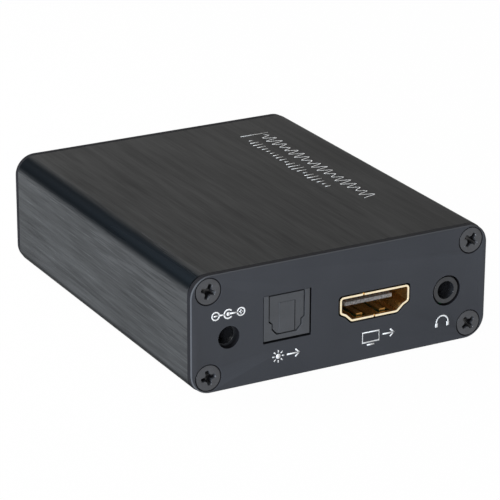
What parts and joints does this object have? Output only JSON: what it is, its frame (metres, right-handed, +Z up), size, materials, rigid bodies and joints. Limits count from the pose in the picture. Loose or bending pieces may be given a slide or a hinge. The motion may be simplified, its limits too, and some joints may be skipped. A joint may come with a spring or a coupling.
{
  "type": "audio extractor box",
  "caption": "Small box in an extruded aluminium sleeve that takes the sound out of a video signal, with a video output, an optical port with a hinged shutter, an audio jack and a power inlet.",
  "frame": {"origin": "middle of the case's base face", "axes": "+X along the port panel, left to right as it is seen; +Y from the port panel to the input panel; +Z up"},
  "size_m": [0.0632, 0.0772, 0.023],
  "materials": {
    "sleeve_aluminium": "black anodised, brushed along the depth",
    "panel_aluminium": "dark grey anodised, matte",
    "black_steel": "black oxide",
    "green_board": "green solder mask",
    "gold_plate": "thin gold plate",
    "insert_plastic": "grey moulded",
    "port_plastic": "dark grey moulded",
    "spring_steel": "bright",
    "emitter_resin": "clear resin",
    "black_plastic": "black moulded",
    "tin_plate": "tin plated",
    "lamp_resin": "red resin",
    "chip_resin": "moulded resin",
    "can_aluminium": "drawn can",
    "ferrite": "ferrite",
    "ceramic": "ceramic"
  },
  "bodies": {
    "root": {"sleeve": "sleeve_aluminium", "port_panel": "panel_aluminium", "input_panel": "panel_aluminium", "port_panel_screws": "black_steel", "input_panel_screws": "black_steel", "circuit_board": "green_board", "video_out_shell": "gold_plate", "video_out_insert": "insert_plastic", "video_out_contacts": "gold_plate", "video_in_shell": "gold_plate", "video_in_insert": "insert_plastic", "video_in_contacts": "gold_plate", "optical_housing": "port_plastic", "shutter_spring": "spring_steel", "optical_emitter": "emitter_resin", "power_jack_body": "black_plastic", "power_jack_pin": "tin_plate", "power_jack_spring": "tin_plate", "audio_jack_body": "black_plastic", "audio_jack_contacts": "tin_plate", "switch_frame": "tin_plate", "switch_base": "black_plastic", "power_lamp": "lamp_resin", "video_chip": "chip_resin", "audio_chip": "chip_resin", "voltage_regulator": "chip_resin", "crystal": "tin_plate", "filter_capacitors": "can_aluminium", "power_inductor": "ferrite", "small_components": "ceramic"},
    "shutter": {"optical_shutter": "port_plastic"},
    "mode_slide": {"switch_knob": "black_plastic", "switch_wiper": "gold_plate"}
  },
  "joints": [
    {"name": "shutter_hinge", "type": "hinge", "parent": "root", "child": "shutter", "pos_m": [-0.01177, -0.0378, 0.01593], "axis": [1, 0, 0], "range_deg": [0, 80], "stiffness_Nm_per_rad": 0.00001, "springref_deg": -34.38, "deforming": ["shutter_spring"]},
    {"name": "mode_switch", "type": "slide", "parent": "root", "child": "mode_slide", "axis": [-1, 0, 0], "range_m": [-0.002, 0.002]}
  ]
}
